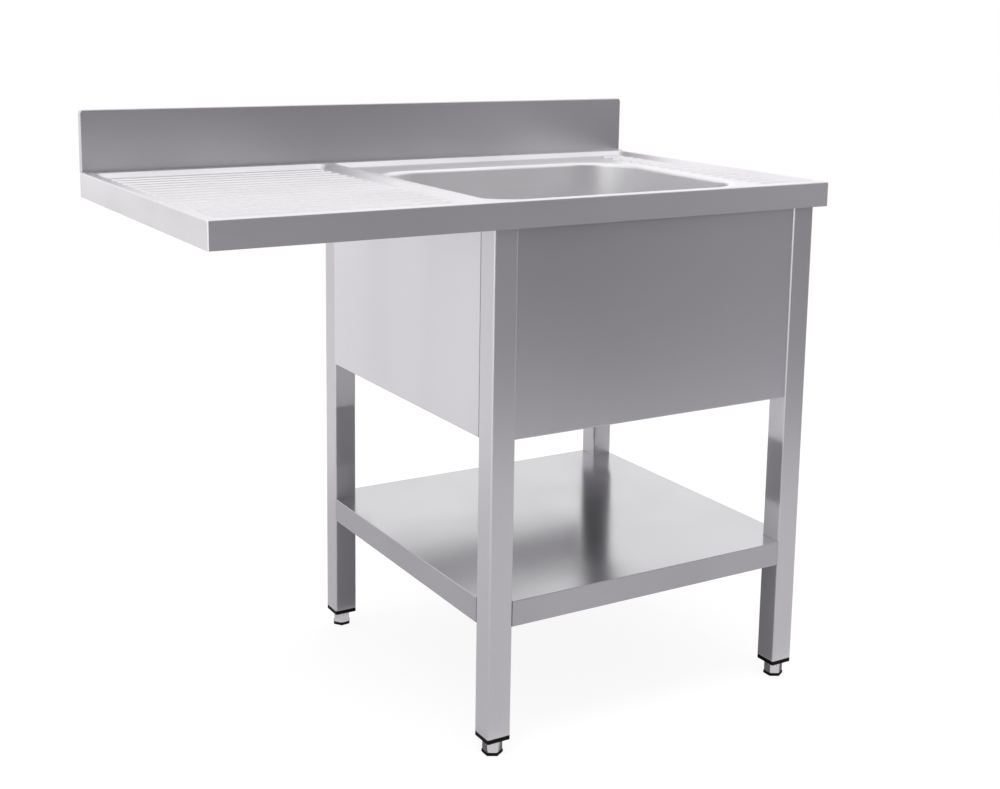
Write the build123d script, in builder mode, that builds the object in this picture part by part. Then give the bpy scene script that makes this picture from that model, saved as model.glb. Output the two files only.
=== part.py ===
"""Free-standing catering sink unit: a pressed steel worktop with a drainer that overhangs a machine bay."""

import os

from build123d import *

os.makedirs("parts", exist_ok=True)

# Driving dimensions, in millimetres. +X is right seen from the front, -Y is the front, the floor is Z = 0.

# Worktop
top_width = 1050.0
top_depth = 600.0
work_height = 850.0
lip_height = 40.0
top_sheet = 1.2
lip_hem = 4.5
top_edge_radius = 2.0
lip_corner_radius = 2.5

# Pressed recesses in the worktop, and the raised ribs on their floors
rim_width = 14.0
rear_ledge = 32.0
ridge_width = 22.0
recess_depth = 8.0
recess_corner = 16.0
recess_slope = 40.0
rib_pitch = 30.0
rib_width = 13.0
rib_height = 2.6
rib_slope = 42.0
rib_end_gap = 15.0

# Splashback
upstand_height = 100.0
upstand_depth = 12.0
upstand_sheet = 1.0
upstand_corner = 6.0
upstand_foot = 14.0
upstand_bend = 1.6

# Leg frame
leg_size = 40.0
leg_wall = 1.5
leg_corner = 3.0
frame_width = 600.0
right_overhang = 25.0
leg_setback = 6.0
leg_bottom = 32.0

# Bowl
bowl_width = 500.0
bowl_length = 400.0
bowl_depth = 250.0
bowl_sheet = 1.2
bowl_corner = 85.0
bowl_draft = 3.0
bowl_floor_radius = 45.0
bowl_edge_radius = 7.0
bowl_flange = 11.0
bowl_left_inset = 20.0
bowl_front_inset = 72.0

# Channels under the worktop
channel_width = 36.0
channel_wall = 1.5
channel_rise = 2.0
channel_end_gap = 1.0
channel_lip = 9.0
side_channel_inset = 5.0
centre_channel_gap = 6.0
right_channel_inset = 24.0

# Plates and bolts that join the legs to the channels
plate_thickness = 3.0
plate_reach = 52.0
bolt_first = 14.0
bolt_spacing = 24.0
bolt_radius = 4.0
bolt_clearance = 0.3
bolt_length = 20.0
bolt_head_flats = 13.0
bolt_head_height = 5.3
nut_height = 6.5
nut_clearance = 0.05

# Panels round the bowl
panel_sheet = 1.0
panel_bottom = 495.0
panel_top_gap = 0.5
panel_bend = 1.8
front_panel_recess = 3.0
front_panel_return = 20.0
side_panel_return = 12.0
panel_top_return = 8.0
panel_screw_inset = 45.0

# Lower shelf
shelf_top = 246.0
shelf_flange = 40.0
shelf_sheet = 1.0
shelf_hem = 10.0
shelf_edge_radius = 0.9
shelf_channel_width = 60.0
shelf_channel_depth = 25.0

# Self-tapping screws for the panels and the shelf
screw_radius = 2.1
screw_length = 12.0
screw_head_radius = 4.2
screw_head_height = 2.6
screw_head_round = 1.4
screw_clearance = 0.1

# Adjustable feet
insert_rim = 7.0
insert_depth = 30.0
insert_clearance = 0.1
stud_radius = 5.0
stud_length = 50.0
stud_engagement = 14.5
stud_clearance = 0.1
foot_gap = 0.3
foot_turns = {"front_left": 30.0, "front_right": 30.0, "rear_left": 5.5, "rear_right": 18.0}
foot_flats = 27.0
foot_base_flats = 28.5
foot_base_height = 5.0
foot_base_chamfer = 0.8
foot_spigot_radius = 10.0
foot_spigot_height = 3.0
foot_spigot_clearance = 0.1

# Waste fitting and overflow standpipe
waste_rear_inset = 105.0
waste_neck_radius = 24.8
waste_thread_radius = 23.9
waste_bore_radius = 21.0
waste_hole_clearance = 0.7
waste_flange_radius = 38.0
waste_flange_height = 2.5
waste_outlet_length = 45.0
seal_thickness = 1.0
lower_seal_thickness = 3.0
lower_seal_radius = 35.0
backnut_flats = 66.0
backnut_height = 10.0
waste_clearance = 0.1
standpipe_radius = 19.0
standpipe_wall = 1.5
standpipe_height = 170.0
standpipe_collar_radius = 27.0
standpipe_collar_height = 5.0
standpipe_spigot = 20.0
standpipe_clearance = 0.4
standpipe_gap = 0.3
standpipe_seal_height = 2.0

# Places worked out from the driving dimensions
left_x = -top_width / 2
right_x = top_width / 2
front_y = -top_depth / 2
rear_y = top_depth / 2
lip_bottom = work_height - lip_height
recess_floor = work_height - recess_depth
floor_under = recess_floor - top_sheet
ledge_under = work_height - top_sheet

left_overhang = top_width - frame_width - right_overhang
leg_left = left_x + left_overhang
leg_right = leg_left + frame_width
leg_front = front_y + leg_setback
leg_rear = rear_y - leg_setback
channel_bottom = lip_bottom + channel_rise
plate_bottom = channel_bottom - plate_thickness
leg_top = plate_bottom
leg_corners = {
    "front_left": (leg_left, leg_front, 1, 1),
    "front_right": (leg_right, leg_front, -1, 1),
    "rear_left": (leg_left, leg_rear, 1, -1),
    "rear_right": (leg_right, leg_rear, -1, -1),
}

bowl_left = leg_left + bowl_left_inset
bowl_x = bowl_left + bowl_width / 2
bowl_front = front_y + bowl_front_inset
bowl_rear = bowl_front + bowl_length
bowl_y = (bowl_front + bowl_rear) / 2
bowl_right = bowl_left + bowl_width
bowl_floor = recess_floor - bowl_depth

ridge_right = bowl_left - bowl_flange
ridge_left = ridge_right - ridge_width
recess_front = front_y + rim_width
recess_rear = rear_y - rear_ledge
recess_length = recess_rear - recess_front
drainer_left = left_x + rim_width
drainer_right = ridge_left
bowl_recess_left = ridge_right - rim_width / 2
bowl_recess_right = right_x - rim_width

panel_top = plate_bottom - panel_top_gap
shelf_bottom = shelf_top - shelf_flange
shelf_screw_z = shelf_top - shelf_flange / 2
panel_screw_levels = (panel_bottom + panel_screw_inset, panel_top - panel_screw_inset)
front_panel_y = leg_front + front_panel_recess
front_screw_y = front_panel_y + front_panel_return / 2
side_screw_inset = side_panel_return / 2

waste_x = bowl_x
waste_y = bowl_rear - waste_rear_inset


def save(piece, name):
    """Label a finished piece and write it as its own file."""
    piece.label = name
    export_step(piece, f"parts/{name}.step")


def leg_centre(corner):
    """The middle of a leg in plan, from its outer corner and its inward directions."""
    x, y, inward_x, inward_y = leg_corners[corner]
    return x + inward_x * leg_size / 2, y + inward_y * leg_size / 2


def recess_regions(grow):
    """The two pressed recesses in plan as (left, right, front, rear), each side moved out by grow."""
    spans = ((drainer_left, drainer_right), (bowl_recess_left, bowl_recess_right))
    return [(left - grow, right + grow, recess_front - grow, recess_rear + grow) for left, right in spans]


def rib_rows():
    """The ribs as (middle x, length): long ones on the drainer, short ones right of the bowl."""
    drainer = (drainer_left + rib_end_gap, drainer_right - rib_end_gap)
    beside_bowl = (bowl_right + bowl_flange + rib_end_gap, bowl_recess_right - rib_end_gap)
    return [((start + end) / 2, end - start) for start, end in (drainer, beside_bowl)]


rib_count = int((recess_length - 2 * rib_end_gap) / rib_pitch)
rib_middle_y = (recess_front + recess_rear) / 2


# Space under the pressed sheet, one sheet thickness below the worktop's upper face
with BuildPart() as under_space:
    with BuildSketch(Plane.XY.offset(lip_bottom)):
        Rectangle(top_width - 2 * top_sheet, top_depth - 2 * top_sheet)
    extrude(amount=lip_height - top_sheet)
    for left, right, front, rear in recess_regions(top_sheet):
        with BuildSketch(Plane.XY.offset(ledge_under)):
            with Locations(((left + right) / 2, (front + rear) / 2)):
                RectangleRounded(right - left, rear - front, recess_corner + top_sheet)
        extrude(amount=-recess_depth, taper=recess_slope, mode=Mode.SUBTRACT)
    with BuildSketch(Plane.XY.offset(floor_under)):
        for middle_x, length in rib_rows():
            with Locations((middle_x, rib_middle_y)):
                with GridLocations(0, rib_pitch, 1, rib_count):
                    SlotOverall(length - 2 * top_sheet, rib_width - 2 * top_sheet)
    extrude(amount=rib_height, taper=rib_slope)
    with BuildSketch(Plane.XY.offset(lip_bottom)):
        Rectangle(top_width, top_depth)
        Rectangle(top_width - 2 * lip_hem, top_depth - 2 * lip_hem, mode=Mode.SUBTRACT)
    extrude(amount=top_sheet, mode=Mode.SUBTRACT)

# Worktop: raised rim, pressed recesses with ribs, folded lip with a hemmed edge, and the opening for the bowl
with BuildPart() as worktop:
    with BuildSketch(Plane.XY.offset(lip_bottom)):
        Rectangle(top_width, top_depth)
    extrude(amount=lip_height)
    fillet(worktop.edges().filter_by(Axis.Z), lip_corner_radius)
    fillet(worktop.faces().sort_by(Axis.Z)[-1].edges(), top_edge_radius)
    for left, right, front, rear in recess_regions(0):
        with BuildSketch(Plane.XY.offset(work_height)):
            with Locations(((left + right) / 2, (front + rear) / 2)):
                RectangleRounded(right - left, rear - front, recess_corner)
        extrude(amount=-recess_depth, taper=recess_slope, mode=Mode.SUBTRACT)
    with BuildSketch(Plane.XY.offset(recess_floor)):
        for middle_x, length in rib_rows():
            with Locations((middle_x, rib_middle_y)):
                with GridLocations(0, rib_pitch, 1, rib_count):
                    SlotOverall(length, rib_width)
    extrude(amount=rib_height, taper=rib_slope)
    add(under_space.part, mode=Mode.SUBTRACT)
    with BuildSketch(Plane.XY.offset(lip_bottom)):
        with Locations((bowl_x, bowl_y)):
            RectangleRounded(bowl_width + 2 * bowl_flange, bowl_length + 2 * bowl_flange, bowl_corner + bowl_flange)
    extrude(amount=lip_height, mode=Mode.SUBTRACT)
save(worktop.part, "worktop")

# Splashback: a folded box, open below, that stands on the worktop's rear edge, with a foot turned out in front
with BuildPart() as splashback:
    with BuildSketch(Plane.XZ.offset(-rear_y)):
        with Locations((0, work_height + upstand_height / 2)):
            Rectangle(top_width, upstand_height)
    extrude(amount=upstand_depth)
    top_corners = splashback.edges().filter_by(Axis.Y).group_by(Axis.Z)[-1]
    fillet(top_corners, upstand_corner)
    front_edges = splashback.faces().sort_by(Axis.Y)[0].edges()
    rear_edges = splashback.faces().sort_by(Axis.Y)[-1].edges()
    bends = (front_edges + rear_edges).filter_by(lambda edge: edge.center().Z > work_height + upstand_bend)
    fillet(bends, upstand_bend)
    offset(amount=-upstand_sheet, openings=splashback.faces().sort_by(Axis.Z)[0])
    foot_rear = rear_y - upstand_depth
    with BuildSketch(Plane.XY.offset(work_height)):
        with Locations((0, foot_rear - upstand_foot / 2)):
            Rectangle(top_width - 2 * top_edge_radius, upstand_foot)
    extrude(amount=upstand_sheet)
save(splashback.part, "splashback")


def bowl_form(grow):
    """The solid that fills the bowl and lies on its flange, moved out by grow, for one side of the sheet."""
    rim = recess_floor - grow
    with BuildPart() as form:
        with BuildSketch(Plane.XY.offset(rim)):
            with Locations((bowl_x, bowl_y)):
                RectangleRounded(bowl_width + 2 * grow, bowl_length + 2 * grow, bowl_corner + grow)
        extrude(amount=-bowl_depth, taper=bowl_draft)
        fillet(form.faces().sort_by(Axis.Z)[0].edges(), bowl_floor_radius + grow)
        with BuildSketch(Plane.XY.offset(rim)):
            with Locations((bowl_x, bowl_y)):
                Rectangle(bowl_width + 4 * bowl_flange, bowl_length + 4 * bowl_flange)
        extrude(amount=recess_depth)
        level_with_rim = form.edges().group_by(Axis.Z)[-3]
        mouth = level_with_rim.filter_by_position(Axis.X, bowl_left - bowl_flange, bowl_right + bowl_flange)
        mouth = mouth.filter_by_position(Axis.Y, bowl_front - bowl_flange, bowl_rear + bowl_flange)
        fillet(mouth, bowl_edge_radius - grow)
    return form.part


# Bowl: one drawn sheet with a rolled mouth and a flat flange that is welded flush into the worktop
upper_form = bowl_form(0)
lower_form = bowl_form(bowl_sheet)
with BuildPart() as sink_bowl:
    with BuildSketch(Plane.XY.offset(recess_floor)):
        with Locations((bowl_x, bowl_y)):
            RectangleRounded(bowl_width + 2 * bowl_flange, bowl_length + 2 * bowl_flange, bowl_corner + bowl_flange)
    extrude(amount=-bowl_depth - 2 * bowl_sheet)
    add(lower_form, mode=Mode.INTERSECT)
    add(upper_form, mode=Mode.SUBTRACT)
    with BuildSketch(Plane.XY.offset(bowl_floor)):
        with Locations((waste_x, waste_y)):
            Circle(waste_neck_radius + waste_hole_clearance)
    extrude(amount=-2 * bowl_sheet, mode=Mode.SUBTRACT)
save(sink_bowl.part, "sink_bowl")


def channel_section(width, height, wall, lip):
    """A C-section drawn with its web at the bottom and its two lips turned in at the top."""
    with BuildSketch() as section:
        with Locations((0, height / 2)):
            Rectangle(width, height)
            Rectangle(width - 2 * wall, height - 2 * wall, mode=Mode.SUBTRACT)
        with Locations((0, height)):
            Rectangle(width - 2 * lip, 2 * wall, mode=Mode.SUBTRACT)
    return section.sketch


def long_channel(middle_y):
    """A channel that runs the width of the worktop, with holes in its web for the leg bolts."""
    start = left_x + top_sheet + channel_end_gap
    end = right_x - top_sheet - channel_end_gap
    with BuildPart() as channel:
        plane = Plane(origin=(start, middle_y, channel_bottom), x_dir=(0, 1, 0), z_dir=(1, 0, 0))
        with BuildSketch(plane):
            add(channel_section(channel_width, floor_under - channel_bottom, channel_wall, channel_lip))
        extrude(amount=end - start)
        with BuildSketch(Plane.XY.offset(channel_bottom)):
            with Locations(*[(x, y) for x, y in bolt_places() if (y > 0) == (middle_y > 0)]):
                Circle(bolt_radius + bolt_clearance)
        extrude(amount=channel_wall, mode=Mode.SUBTRACT)
    return channel.part


def cross_channel(middle_x):
    """A channel from front to rear between the two long ones."""
    start = leg_front + leg_size - (leg_size - channel_width) / 2
    end = leg_rear - leg_size + (leg_size - channel_width) / 2
    with BuildPart() as channel:
        plane = Plane(origin=(middle_x, start, channel_bottom), x_dir=(-1, 0, 0), z_dir=(0, 1, 0))
        with BuildSketch(plane):
            add(channel_section(channel_width, floor_under - channel_bottom, channel_wall, channel_lip))
        extrude(amount=end - start)
    return channel.part


def bolt_places():
    """The leg bolts in plan: two beside each leg, in the middle of its channel."""
    places = []
    for corner, (x, y, inward_x, inward_y) in leg_corners.items():
        inner_face = x + inward_x * leg_size
        for step in range(2):
            reach = bolt_first + step * bolt_spacing
            places.append((inner_face + inward_x * reach, leg_centre(corner)[1]))
    return places


# Channels that stiffen the worktop and carry it on the legs
save(long_channel(leg_centre("front_left")[1]), "front_channel")
save(long_channel(leg_centre("rear_left")[1]), "rear_channel")
save(cross_channel(left_x + side_channel_inset + channel_width / 2), "left_channel")
save(cross_channel(leg_left - centre_channel_gap - channel_width / 2), "centre_channel")
save(cross_channel(leg_right - right_channel_inset - channel_width / 2), "right_channel")


def screw_places():
    """Every self-tapping screw as (kind, head seat, direction it is driven in)."""
    places = []
    for corner, (x, y, inward_x, inward_y) in leg_corners.items():
        centre_x, centre_y = leg_centre(corner)
        seat_x = x + inward_x * (leg_size + shelf_sheet)
        seat_y = y + inward_y * (leg_size + shelf_sheet)
        places.append(("shelf", (seat_x, centre_y, shelf_screw_z), (-inward_x, 0, 0)))
        places.append(("shelf", (centre_x, seat_y, shelf_screw_z), (0, -inward_y, 0)))
        for level in panel_screw_levels:
            side_x = x + inward_x * side_screw_inset
            side_seat = y + inward_y * (leg_size + panel_sheet)
            places.append(("panel", (side_x, side_seat, level), (0, -inward_y, 0)))
            if inward_y > 0:
                front_seat = x + inward_x * (leg_size + panel_sheet)
                places.append(("panel", (front_seat, front_screw_y, level), (-inward_x, 0, 0)))
    return places


def screw_holes(radius):
    """Rods along every screw, to be taken out of the pieces that the screws cross."""
    with BuildPart() as rods:
        for kind, seat, direction in screw_places():
            with BuildSketch(Plane(origin=seat, z_dir=direction)):
                Circle(radius)
            extrude(amount=screw_length + screw_clearance, both=True)
    return rods.part


leg_screw_holes = screw_holes(screw_radius + screw_clearance / 2)
sheet_screw_holes = screw_holes(screw_radius + screw_clearance)

# Legs: square tubes with rounded edges
for corner in leg_corners:
    with BuildPart() as leg:
        with BuildSketch(Plane.XY.offset(leg_bottom)):
            with Locations(leg_centre(corner)):
                RectangleRounded(leg_size, leg_size, leg_corner)
                inner = leg_size - 2 * leg_wall
                RectangleRounded(inner, inner, leg_corner - leg_wall, mode=Mode.SUBTRACT)
        extrude(amount=leg_top - leg_bottom)
        add(leg_screw_holes, mode=Mode.SUBTRACT)
    save(leg.part, f"leg_{corner}")

# Plates welded on the legs and bolted to the channels
for corner, (x, y, inward_x, inward_y) in leg_corners.items():
    plate_length = leg_size + plate_reach
    with BuildPart() as leg_plate:
        with BuildSketch(Plane.XY.offset(plate_bottom)):
            with Locations((x + inward_x * plate_length / 2, leg_centre(corner)[1])):
                RectangleRounded(plate_length, leg_size, leg_corner)
            with Locations(*bolt_places()):
                Circle(bolt_radius + bolt_clearance, mode=Mode.SUBTRACT)
        extrude(amount=plate_thickness)
    save(leg_plate.part, f"leg_plate_{corner}")

# Hexagon bolts, driven up through the plates, and their nuts inside the channels
with BuildPart() as leg_bolts:
    with BuildSketch(Plane.XY.offset(plate_bottom)):
        with Locations(*bolt_places()):
            RegularPolygon(bolt_head_flats / 2, 6, major_radius=False)
    extrude(amount=-bolt_head_height)
    with BuildSketch(Plane.XY.offset(plate_bottom)):
        with Locations(*bolt_places()):
            Circle(bolt_radius)
    extrude(amount=bolt_length)
save(leg_bolts.part, "leg_bolts")

with BuildPart() as leg_nuts:
    with BuildSketch(Plane.XY.offset(channel_bottom + channel_wall)):
        with Locations(*bolt_places()):
            RegularPolygon(bolt_head_flats / 2, 6, major_radius=False)
            Circle(bolt_radius + nut_clearance, mode=Mode.SUBTRACT)
    extrude(amount=nut_height)
save(leg_nuts.part, "leg_nuts")


def folded_panel(plane, width, return_depth):
    """A sheet panel with its four edges folded back, drawn on its outer face, x across and y up."""
    height = panel_top - panel_bottom
    with BuildPart() as panel:
        with BuildSketch(plane):
            with Locations((0, height / 2)):
                Rectangle(width, height)
        extrude(amount=-return_depth)
        outer_face = panel.faces().sort_by_distance(plane.origin + plane.z_dir * return_depth)[0]
        fillet(outer_face.edges(), panel_bend)
        with BuildSketch(plane.offset(-panel_sheet)):
            with Locations((0, height / 2)):
                Rectangle(width - 2 * panel_sheet, height - 2 * panel_sheet)
        extrude(amount=-return_depth, mode=Mode.SUBTRACT)
        with BuildSketch(plane.offset(-panel_top_return)):
            with Locations((0, height / 2)):
                Rectangle(width - 2 * panel_sheet, height)
        extrude(amount=-return_depth, mode=Mode.SUBTRACT)
        add(sheet_screw_holes, mode=Mode.SUBTRACT)
    return panel.part


# Panels that clad the bowl on three sides
front_span = leg_right - leg_left - 2 * leg_size
side_span = leg_rear - leg_front - 2 * leg_size
frame_x = (leg_left + leg_right) / 2
frame_y = (leg_front + leg_rear) / 2
front_plane = Plane(origin=(frame_x, front_panel_y, panel_bottom), x_dir=(1, 0, 0), z_dir=(0, -1, 0))
left_plane = Plane(origin=(leg_left, frame_y, panel_bottom), x_dir=(0, -1, 0), z_dir=(-1, 0, 0))
right_plane = Plane(origin=(leg_right, frame_y, panel_bottom), x_dir=(0, 1, 0), z_dir=(1, 0, 0))
save(folded_panel(front_plane, front_span, front_panel_return), "front_panel")
save(folded_panel(left_plane, side_span, side_panel_return), "left_panel")
save(folded_panel(right_plane, side_span, side_panel_return), "right_panel")


def shelf_plan(inset):
    """The shelf's outline with a notch at each leg, every edge moved in by inset, on the current plane."""
    Rectangle(leg_right - leg_left - 2 * inset, leg_rear - leg_front - 2 * inset)
    notch = leg_size + inset
    for corner, (x, y, inward_x, inward_y) in leg_corners.items():
        with Locations((x - frame_x + inward_x * notch / 2, y - frame_y + inward_y * notch / 2)):
            Rectangle(notch, notch, mode=Mode.SUBTRACT)


# Lower shelf: a folded tray turned over, notched round the legs, with hemmed flanges
with BuildPart() as lower_shelf:
    with BuildSketch(Plane((frame_x, frame_y, shelf_bottom))):
        shelf_plan(0)
    extrude(amount=shelf_flange)
    fillet(lower_shelf.faces().sort_by(Axis.Z)[-1].edges(), shelf_edge_radius)
    with BuildSketch(Plane((frame_x, frame_y, shelf_bottom + shelf_sheet))):
        shelf_plan(shelf_sheet)
    extrude(amount=shelf_flange - 2 * shelf_sheet, mode=Mode.SUBTRACT)
    with BuildSketch(Plane((frame_x, frame_y, shelf_bottom))):
        shelf_plan(shelf_hem)
    extrude(amount=shelf_sheet, mode=Mode.SUBTRACT)
    add(sheet_screw_holes, mode=Mode.SUBTRACT)
save(lower_shelf.part, "lower_shelf")

# Channel that stiffens the shelf from side to side
with BuildPart() as shelf_channel:
    under_shelf = shelf_top - shelf_sheet
    start = leg_left + shelf_sheet
    plane = Plane(origin=(start, frame_y, under_shelf - shelf_channel_depth), x_dir=(0, 1, 0), z_dir=(1, 0, 0))
    with BuildSketch(plane):
        add(channel_section(shelf_channel_width, shelf_channel_depth, shelf_sheet, shelf_hem))
    extrude(amount=leg_right - leg_left - 2 * shelf_sheet)
save(shelf_channel.part, "shelf_channel")


def screw_group(wanted):
    """All screws of one kind: a rounded pan head on its seat, and a shank into the leg."""
    with BuildPart() as screws:
        for kind, seat, direction in screw_places():
            if kind != wanted:
                continue
            with BuildSketch(Plane(origin=seat, z_dir=direction)):
                Circle(screw_head_radius)
            extrude(amount=-screw_head_height)
            with BuildSketch(Plane(origin=seat, z_dir=direction)):
                Circle(screw_radius)
            extrude(amount=screw_length)
        rims = screws.edges().filter_by(GeomType.CIRCLE)
        rims = rims.filter_by(lambda rim: rim.radius > screw_head_radius - screw_clearance)
        crowns = [rim for rim in rims if not on_seat(rim.arc_center)]
        fillet(crowns, screw_head_round)
    return screws.part


def on_seat(point):
    """Whether a point is the middle of a screw's head seat."""
    return any((point - Vector(*seat)).length < screw_clearance for kind, seat, direction in screw_places())


save(screw_group("panel"), "panel_screws")
save(screw_group("shelf"), "shelf_screws")

# Feet: a plastic insert in each leg, a threaded stud, a steel hexagon sleeve and a plastic base
insert_bottom = leg_bottom - insert_rim
sleeve_top = insert_bottom - foot_gap
stud_bottom = sleeve_top - stud_engagement
for corner in leg_corners:
    centre = leg_centre(corner)
    with BuildPart() as leg_insert:
        with BuildSketch(Plane.XY.offset(insert_bottom)):
            with Locations(centre):
                RectangleRounded(leg_size, leg_size, leg_corner)
        extrude(amount=insert_rim)
        plug = leg_size - 2 * leg_wall - 2 * insert_clearance
        with BuildSketch(Plane.XY.offset(leg_bottom)):
            with Locations(centre):
                RectangleRounded(plug, plug, leg_corner - leg_wall)
        extrude(amount=insert_depth)
        with BuildSketch(Plane.XY.offset(insert_bottom)):
            with Locations(centre):
                Circle(stud_radius + stud_clearance)
        extrude(amount=insert_rim + insert_depth, mode=Mode.SUBTRACT)
    save(leg_insert.part, f"leg_insert_{corner}")

    with BuildPart() as foot_stud:
        with BuildSketch(Plane.XY.offset(stud_bottom)):
            with Locations(centre):
                Circle(stud_radius)
        extrude(amount=stud_length)
        chamfer(foot_stud.edges().filter_by(GeomType.CIRCLE), stud_radius / 6)
    save(foot_stud.part, f"foot_stud_{corner}")

    with BuildPart() as foot_sleeve:
        with BuildSketch(Plane.XY.offset(foot_base_height)):
            with Locations(centre):
                RegularPolygon(foot_flats / 2, 6, major_radius=False, rotation=foot_turns[corner])
        extrude(amount=sleeve_top - foot_base_height)
        with BuildSketch(Plane.XY.offset(stud_bottom - foot_gap)):
            with Locations(centre):
                Circle(stud_radius + stud_clearance)
        extrude(until=Until.LAST, mode=Mode.SUBTRACT)
        with BuildSketch(Plane.XY.offset(foot_base_height)):
            with Locations(centre):
                Circle(foot_spigot_radius)
        extrude(amount=foot_spigot_height, mode=Mode.SUBTRACT)
    save(foot_sleeve.part, f"foot_sleeve_{corner}")

    with BuildPart() as foot_base:
        with BuildSketch(Plane.XY):
            with Locations(centre):
                RegularPolygon(foot_base_flats / 2, 6, major_radius=False, rotation=foot_turns[corner])
        extrude(amount=foot_base_height)
        chamfer(foot_base.faces().sort_by(Axis.Z)[0].edges(), foot_base_chamfer)
        with BuildSketch(Plane.XY.offset(foot_base_height)):
            with Locations(centre):
                Circle(foot_spigot_radius - foot_spigot_clearance)
        extrude(amount=foot_spigot_height)
    save(foot_base.part, f"foot_base_{corner}")


def ring(bottom, height, inner_radius, outer_radius):
    """A flat ring round the waste's axis."""
    with BuildPart() as flat_ring:
        with BuildSketch(Plane.XY.offset(bottom)):
            with Locations((waste_x, waste_y)):
                Circle(outer_radius)
                Circle(inner_radius, mode=Mode.SUBTRACT)
        extrude(amount=height)
    return flat_ring.part


# Waste fitting: flanged body through the bowl's floor, with a seal above, a seal below and a backnut
flange_bottom = bowl_floor + seal_thickness
flange_top = flange_bottom + waste_flange_height
lower_seal_bottom = bowl_floor - bowl_sheet - lower_seal_thickness
backnut_bottom = lower_seal_bottom - backnut_height
waste_bottom = backnut_bottom - waste_outlet_length
with BuildPart() as waste_body:
    with BuildSketch(Plane.XY.offset(flange_bottom)):
        with Locations((waste_x, waste_y)):
            Circle(waste_flange_radius)
    extrude(amount=waste_flange_height)
    fillet(waste_body.edges().group_by(Axis.Z)[-1], waste_flange_height / 2)
    with BuildSketch(Plane.XY.offset(flange_bottom)):
        with Locations((waste_x, waste_y)):
            Circle(waste_neck_radius)
    extrude(amount=backnut_bottom - flange_bottom)
    with BuildSketch(Plane.XY.offset(backnut_bottom)):
        with Locations((waste_x, waste_y)):
            Circle(waste_thread_radius)
    extrude(amount=-waste_outlet_length)
    with BuildSketch(Plane.XY.offset(waste_bottom)):
        with Locations((waste_x, waste_y)):
            Circle(waste_bore_radius)
    extrude(amount=flange_top - waste_bottom, mode=Mode.SUBTRACT)
save(waste_body.part, "waste_body")

seal_bore = waste_neck_radius + waste_clearance
save(ring(bowl_floor, seal_thickness, seal_bore, waste_flange_radius), "waste_upper_seal")
save(ring(lower_seal_bottom, lower_seal_thickness, seal_bore, lower_seal_radius), "waste_lower_seal")

with BuildPart() as waste_backnut:
    with BuildSketch(Plane.XY.offset(backnut_bottom)):
        with Locations((waste_x, waste_y)):
            RegularPolygon(backnut_flats / 2, 6, major_radius=False)
            Circle(seal_bore, mode=Mode.SUBTRACT)
    extrude(amount=backnut_height)
save(waste_backnut.part, "waste_backnut")

# Overflow standpipe that stands in the waste and lifts out, with its seal ring under the collar
seal_bottom = flange_top + standpipe_gap
collar_bottom = seal_bottom + standpipe_seal_height
spigot_radius = waste_bore_radius - standpipe_clearance
with BuildPart() as standpipe:
    with BuildSketch(Plane.XY.offset(collar_bottom)):
        with Locations((waste_x, waste_y)):
            Circle(standpipe_collar_radius)
    extrude(amount=standpipe_collar_height)
    fillet(standpipe.edges().group_by(Axis.Z)[-1], standpipe_wall)
    with BuildSketch(Plane.XY.offset(collar_bottom)):
        with Locations((waste_x, waste_y)):
            Circle(spigot_radius)
    extrude(amount=-standpipe_spigot)
    chamfer(standpipe.edges().group_by(Axis.Z)[0], standpipe_wall / 2)
    with BuildSketch(Plane.XY.offset(collar_bottom)):
        with Locations((waste_x, waste_y)):
            Circle(standpipe_radius)
    extrude(amount=standpipe_height)
    with BuildSketch(Plane.XY.offset(collar_bottom - standpipe_spigot)):
        with Locations((waste_x, waste_y)):
            Circle(standpipe_radius - standpipe_wall)
    extrude(amount=standpipe_spigot + standpipe_height, mode=Mode.SUBTRACT)
    fillet(standpipe.edges().group_by(Axis.Z)[-1], standpipe_wall / 4)
save(standpipe.part, "standpipe")
seal_inner = spigot_radius + waste_clearance
save(ring(seal_bottom, standpipe_seal_height, seal_inner, standpipe_collar_radius), "standpipe_seal")
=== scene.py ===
"""Dresses a catering sink unit: steel finishes, threads, fasteners, feet, waste fitting and a white stage."""

import math

import bmesh
import bpy
from bpy.props import FloatProperty, FloatVectorProperty, PointerProperty
from bpy.types import Operator, Panel, PropertyGroup
from mathutils import Matrix, Vector


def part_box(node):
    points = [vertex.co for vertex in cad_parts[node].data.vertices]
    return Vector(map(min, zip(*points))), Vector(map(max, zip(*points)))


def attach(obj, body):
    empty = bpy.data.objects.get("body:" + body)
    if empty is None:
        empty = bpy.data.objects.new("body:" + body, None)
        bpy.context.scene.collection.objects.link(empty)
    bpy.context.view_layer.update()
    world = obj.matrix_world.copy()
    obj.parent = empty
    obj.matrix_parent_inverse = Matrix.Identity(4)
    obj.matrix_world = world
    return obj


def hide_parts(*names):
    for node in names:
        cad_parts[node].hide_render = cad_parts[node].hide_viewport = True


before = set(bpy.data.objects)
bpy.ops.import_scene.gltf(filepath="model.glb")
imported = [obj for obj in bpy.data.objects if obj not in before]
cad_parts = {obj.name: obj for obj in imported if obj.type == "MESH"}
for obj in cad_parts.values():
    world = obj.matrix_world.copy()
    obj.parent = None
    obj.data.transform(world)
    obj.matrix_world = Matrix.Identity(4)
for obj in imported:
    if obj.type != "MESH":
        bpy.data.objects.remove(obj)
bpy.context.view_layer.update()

bl_info = {
    "name": "Catering sink unit",
    "version": (1, 0, 0),
    "blender": (4, 5, 0),
    "location": "View3D > Sidebar > Sink unit",
    "description": "Dresses a pressed steel sink table with its finishes, fasteners, feet and waste fitting",
    "category": "Object",
}

MM = 0.001
UP = Vector((0, 0, 1))
CORNERS = ("front_left", "front_right", "rear_left", "rear_right")
FRONT_CORNERS = CORNERS[:2]
SENSOR_WIDTH = 36.0

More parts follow.
